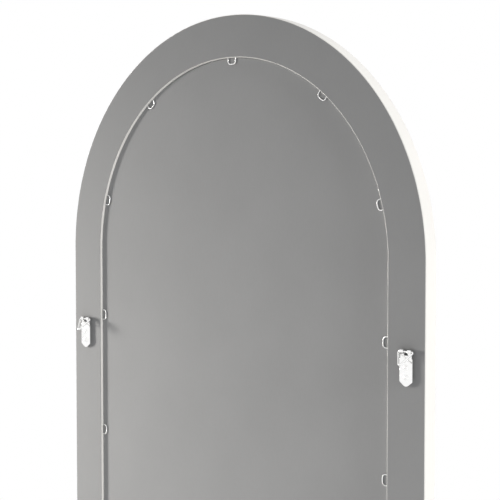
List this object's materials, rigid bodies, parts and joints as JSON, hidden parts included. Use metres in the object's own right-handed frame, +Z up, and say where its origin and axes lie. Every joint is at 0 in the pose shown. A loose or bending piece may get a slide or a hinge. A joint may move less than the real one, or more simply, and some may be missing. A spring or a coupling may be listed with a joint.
{
  "type": "arched wall mirror",
  "caption": "Tall wall mirror with a half-round top in a flat frame, glass held in a rebate by clips, hung by two hinged rings on rear straps.",
  "frame": {"origin": "middle of the frame's bottom edge face: on the centre line, at half the frame's depth", "axes": "+X to the right seen from the front, +Y to the rear towards the wall, +Z up"},
  "size_m": [0.5, 0.031, 1.4999],
  "materials": {
    "frame_lacquer": "white lacquer, satin",
    "joint_wood": "bare beech",
    "joint_steel": "bare",
    "rim_covering": "matt grey",
    "foam_tape": "matt",
    "mirror_glass": "silvered, polished",
    "setting_rubber": "matt",
    "backing_board": "matt grey facing",
    "clip_steel": "zinc plated",
    "hanger_plate": "bright nickel plated",
    "hanger_wire": "bright nickel plated",
    "hanger_screw": "bright nickel plated",
    "bumper_rubber": "translucent grey, matt"
  },
  "bodies": {
    "mirror": {"frame_arch_head": "frame_lacquer", "frame_stile_left": "frame_lacquer", "frame_stile_right": "frame_lacquer", "frame_bottom_rail": "frame_lacquer", "arch_dowels_left": "joint_wood", "arch_dowels_right": "joint_wood", "mitre_nails_left": "joint_steel", "mitre_nails_right": "joint_steel", "rear_rim_covering": "rim_covering", "shelf_foam_tape": "foam_tape", "mirror_glass": "mirror_glass", "glass_setting_blocks": "setting_rubber", "backing_board": "backing_board", "retaining_clips_arch": "clip_steel", "retaining_clips_left": "clip_steel", "retaining_clips_right": "clip_steel", "retaining_clips_bottom": "clip_steel", "hanger_strap_left": "hanger_plate", "hanger_screws_left": "hanger_screw", "wall_bumper_left": "bumper_rubber", "hanger_strap_right": "hanger_plate", "hanger_screws_right": "hanger_screw", "wall_bumper_right": "bumper_rubber"},
    "ring_left": {"hanger_ring_left": "hanger_wire"},
    "ring_right": {"hanger_ring_right": "hanger_wire"}
  },
  "joints": [
    {"name": "ring_left_hinge", "type": "hinge", "parent": "mirror", "child": "ring_left", "pos_m": [-0.2295, 0.01118, 1.1665], "axis": [1, 0, 0], "range_deg": [-20, 138]},
    {"name": "ring_right_hinge", "type": "hinge", "parent": "mirror", "child": "ring_right", "pos_m": [0.2295, 0.01118, 1.1665], "axis": [1, 0, 0], "range_deg": [-20, 138]}
  ]
}
